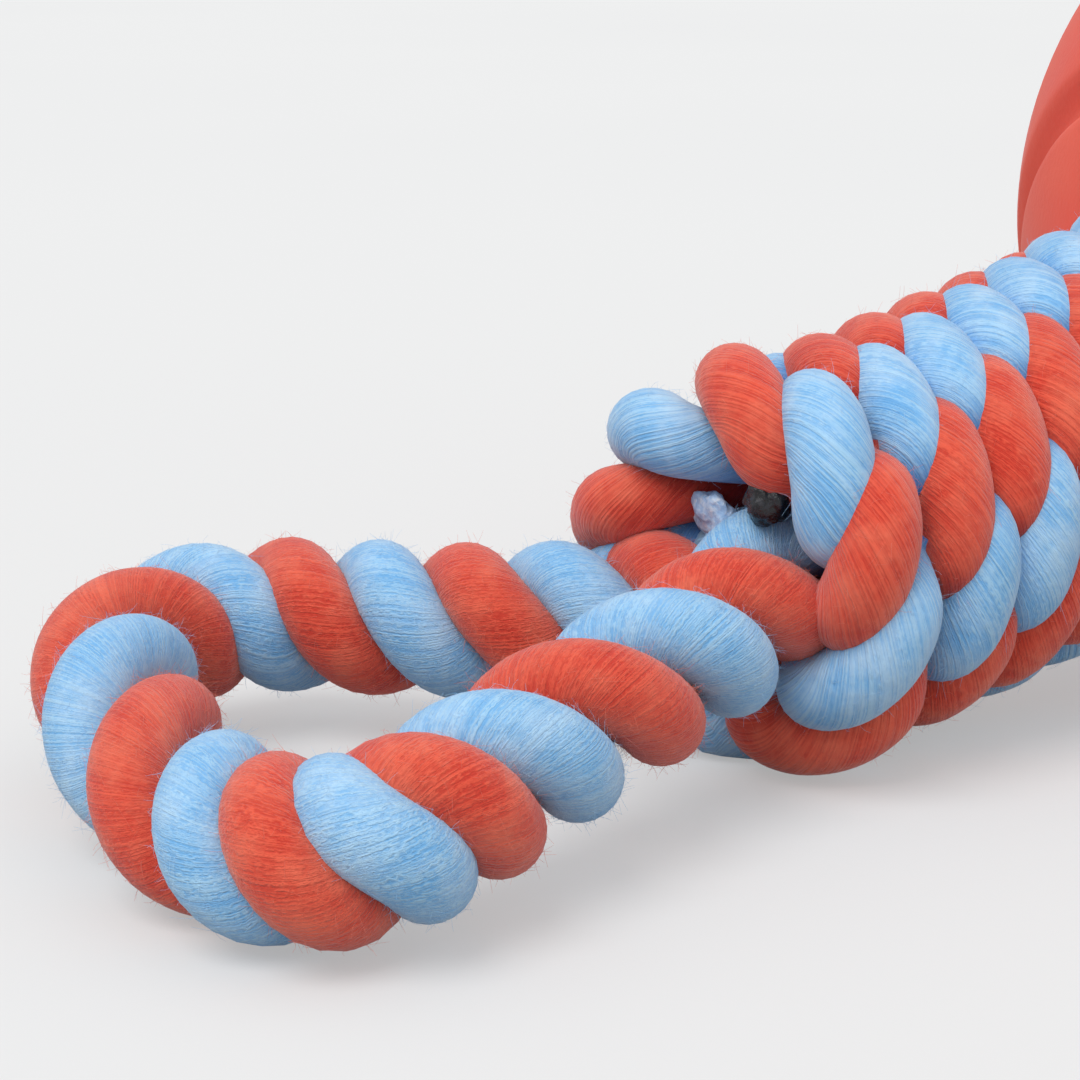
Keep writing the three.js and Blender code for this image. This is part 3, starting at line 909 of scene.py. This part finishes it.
def ball_profile():
    """Closed outline of half the ball as radius and height, from one mouth to the other."""
    mouth = math.asin((BORE_RADIUS + MOUTH_ROUND) / BALL_RADIUS)
    arc = []
    for j in range(BALL_ARC_STEPS + 1):
        angle = mix(mouth, math.pi - mouth, j / BALL_ARC_STEPS)
        radius = BALL_RADIUS
        for groove in (GROOVE_ANGLE, math.pi - GROOVE_ANGLE):
            off = abs(angle - groove) / (GROOVE_HALF * GROOVE_SPREAD)
            radius -= GROOVE_DEPTH * (1 - ease(off)) ** GROOVE_POWER
        arc.append((radius * math.sin(angle), -radius * math.cos(angle)))
    height = arc[-1][1]
    rounding = []
    for j in range(1, MOUTH_STEPS + 1):
        a = math.pi / 2 * j / MOUTH_STEPS
        rounding.append((
            BORE_RADIUS + MOUTH_ROUND * (1 - math.sin(a)),
            height - MOUTH_ROUND * (1 - math.cos(a)),
        ))
    bore = [
        (BORE_RADIUS, mix(1, -1, j / BORE_STEPS) * (height - MOUTH_ROUND))
        for j in range(1, BORE_STEPS)
    ]
    return [(r, -h) for r, h in reversed(rounding)] + arc + rounding + bore


def turned_ball():
    """Ball turned round the rope's axis, with a rounded bore mouth and two ring grooves."""
    centre, along, up = handle_at(BALL_CENTRE - BALL_PRESS)
    bm = bmesh.new()
    verts = [bm.verts.new((centre + along * h + up * r) * MM) for r, h in ball_profile()]
    edges = [bm.edges.new((a, b)) for a, b in zip(verts, verts[1:] + verts[:1])]
    bmesh.ops.spin(
        bm, geom=verts + edges, cent=centre * MM, axis=along, dvec=(0, 0, 0),
        angle=2 * math.pi, steps=BALL_TURN_STEPS, use_merge=True, use_duplicate=False,
    )
    bmesh.ops.remove_doubles(bm, verts=bm.verts, dist=SMALLEST)
    finish_piece("grooved_rubber_ball", bm, ball_rubber, "ball", ["rubber_ball"])


# Melted ends

BEAD_SUBDIVISIONS = 4
LUMP_DENSITY, LUMP_HEIGHT = 1.3, 0.34  # lumps in a bead's radius, and their share of it
FINE_DENSITY, FINE_HEIGHT = 2.7, 0.14  # finer ones: how many times as dense, their share


def melted_bead(name, material, node, centre, sizes, seed):
    """Lump of melted fibre: a bead pushed out of round. sizes are half its extents."""
    along, up = handle_at(0)[1:]
    place = Matrix((SIDE * sizes[0], up * sizes[1], along * sizes[2])).transposed().to_4x4()
    place = Matrix.Scale(MM, 4) @ place
    place.translation = centre * MM
    bm = bmesh.new()
    bmesh.ops.create_icosphere(bm, subdivisions=BEAD_SUBDIVISIONS, radius=1.0)
    for v in bm.verts:
        point = v.co * LUMP_DENSITY + Vector((seed, 0, 0))
        v.co *= (1 + LUMP_HEIGHT * noise.noise(point)
                 + FINE_HEIGHT * noise.noise(point * FINE_DENSITY))
    bmesh.ops.transform(bm, matrix=place, verts=bm.verts)
    finish_piece(name, bm, material, "rope", [node])


def melted_ends():
    """Burnt end under the topmost first stitch, and a pale melted patch beside it."""
    melted_bead("scorched_strand_end", scorched_end, "charred_tip",
                around_handle(-6.5, 11.2, math.radians(33)), (2.3, 2.5, 2.0), 4.0)
    melted_bead("melted_strand_end", sealed_end, "heat_seal_patch",
                around_handle(-6.0, 6.9, math.radians(-30)), (3.0, 2.3, 1.4), 11.0)


# Loose fibres

FIBRE_RADIUS = 0.014
FIBRE_LENGTHS = (0.5, 2.4)
FIBRE_RISE = (0.05, 0.6)  # share of its length that a fibre stands up
FIBRE_CURL = 0.55
FIBRE_ROOT = 0.1  # depth in the strand
FIBRE_SPREAD = 1.9  # how far from a strand's top they grow, in radians
FIBRE_STEPS = 3
FIBRE_TAPER = 0.5
FIBRE_FLOOR = 2.0  # fibres that start lower are pressed flat by the floor
FIBRE_COVER = 0.3  # they grow where the strand isn't tucked under
SENNIT_FIBRES, LOOP_FIBRES = 8200, 6000  # in each colour
SENNIT_SEED, LOOP_SEED = 3, 5


def loose_fibres(name, rings, material, count, seed):
    """Fine fibres that stand off the strands' surface and lie over with the threads."""
    chance = random.Random(seed)
    fibres = bpy.data.curves.new(name, "CURVE")
    fibres.dimensions = "3D"
    fibres.bevel_depth = FIBRE_RADIUS * MM
    fibres.bevel_resolution = 0
    open_rings = [ring for ring in rings if ring.cover > FIBRE_COVER]
    for _ in range(count):
        ring = chance.choice(open_rings)
        turn = chance.uniform(-FIBRE_SPREAD, FIBRE_SPREAD)
        width = ring.along.cross(ring.height)
        out = (ring.height * math.cos(turn) + width * math.sin(turn)).normalized()
        root = (ring.centre + ring.height * math.cos(turn) * ring.half_height
                + width * math.sin(turn) * ring.half_width)
        lie = (ring.along * chance.uniform(-1, 1)
               + ring.along.cross(out) * chance.uniform(-1, 1)).normalized()
        curl = ring.along * chance.uniform(-1, 1) + out * chance.uniform(-0.6, 0.4)
        length = chance.uniform(*FIBRE_LENGTHS)
        rise = chance.uniform(*FIBRE_RISE)
        if root.z < FIBRE_FLOOR:
            continue
        spline = fibres.splines.new("POLY")
        spline.points.add(FIBRE_STEPS)
        for j, point in enumerate(spline.points):
            share = j / FIBRE_STEPS
            place = (root - out * FIBRE_ROOT
                     + (out * rise + lie * (1 - rise)) * (length * share)
                     + curl * (FIBRE_CURL * length * share * share))
            point.co = (*(place * MM), 1)
            point.radius = 1 - FIBRE_TAPER * share
    fibres.materials.append(material)
    piece = bpy.data.objects.new(name, fibres)
    bpy.context.scene.collection.objects.link(piece)
    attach(piece, "rope")


def strand_fibres(strands):
    """Fibres of each colour on the sennit and on the loop."""
    for colour, material in (("red", red_fibre), ("blue", blue_fibre)):
        for part, count, seed in (
            ("sennit", SENNIT_FIBRES, SENNIT_SEED), ("loop", LOOP_FIBRES, LOOP_SEED),
        ):
            rings = [
                ring for name in strands if name.startswith(f"{colour}_{part}")
                for ring in strands[name]
            ]
            loose_fibres(f"{colour}_{part}_fibres", rings, material,
                         count, seed)


# Floor and light

FLOOR_HALF = 8.0  # metres
WORLD_STRENGTH = 0.74
FLOOR_EVENNESS = 0.42  # share of the seen floor that no shadow reaches

# Spread, heading and height are in degrees
Lamp = namedtuple("Lamp", "name strength spread heading height")
LAMPS = (
    Lamp("key", 1.55, 38, 200, 56),
    Lamp("fill", 0.3, 90, -70, 40),
)


def pale_floor():
    """Seamless pale paper, even over the whole view, with the toy's shadow on it."""
    material = new_material("pale_paper")
    # The paper's tone wanders over a third of a metre
    tone = noise_value(material, object_place(material), 3.0, 1.0)
    # Seen by the camera, in a gloss or through glass the paper is pale. To the toy it is
    # grey, so that it throws little light back
    path = add_node(material, "ShaderNodeLightPath").outputs
    seen = calculated(material, "MAXIMUM", path["Is Camera Ray"], path["Is Glossy Ray"])
    seen = calculated(material, "MAXIMUM", seen, path["Is Transmission Ray"])
    paper = add_node(material, "ShaderNodeBsdfPrincipled", {
        "Base Color": blend_colours(
            material, seen, "A8A8A8", blend_colours(material, tone, "DEDEDE", "E2E2E1")
        ),
        "Roughness": 1.0, "Specular IOR Level": 0.0,
    })
    even = add_node(
        material, "ShaderNodeEmission", {"Color": linear("F0F0F0"), "Strength": 1.0}
    )
    share = calculated(material, "MULTIPLY", seen, FLOOR_EVENNESS)
    close_material(material, add_node(
        material, "ShaderNodeMixShader", {0: share, 1: paper.outputs[0], 2: even.outputs[0]}
    ))
    bm = bmesh.new()
    bmesh.ops.create_grid(bm, x_segments=8, y_segments=8, size=FLOOR_HALF)
    mesh = bpy.data.meshes.new("floor")
    bm.to_mesh(mesh)
    bm.free()
    mesh.materials.append(material)
    floor = bpy.data.objects.new("floor", mesh)
    bpy.context.scene.collection.objects.link(floor)


def light_studio():
    """Even pale surroundings, a broad soft key from high on the left and a weak fill."""
    world = bpy.data.worlds.new("studio")
    bpy.context.scene.world = world
    world.use_nodes = True
    ground = world.node_tree.nodes["Background"]
    ground.inputs["Color"].default_value = linear("F4F6F8")
    ground.inputs["Strength"].default_value = WORLD_STRENGTH
    for lamp in LAMPS:
        sun = bpy.data.lights.new(lamp.name, "SUN")
        sun.energy = lamp.strength
        sun.angle = math.radians(lamp.spread)
        holder = bpy.data.objects.new(lamp.name, sun)
        heading, height = math.radians(lamp.heading), math.radians(lamp.height)
        towards = Vector((
            math.cos(heading) * math.cos(height), math.sin(heading) * math.cos(height),
            math.sin(height),
        ))
        holder.rotation_mode = "QUATERNION"
        holder.rotation_quaternion = towards.to_track_quat("Z", "Y")
        bpy.context.scene.collection.objects.link(holder)


# The toy and its studio

strands = {**sennit_strands(), **loop_plies()}
core_cord()
tassel_yarns("red", red_cotton, 0)
tassel_yarns("blue", blue_cotton, 1)
turned_ball()
melted_ends()
strand_fibres(strands)
pale_floor()
light_studio()
bpy.context.scene.view_settings.view_transform = "Standard"
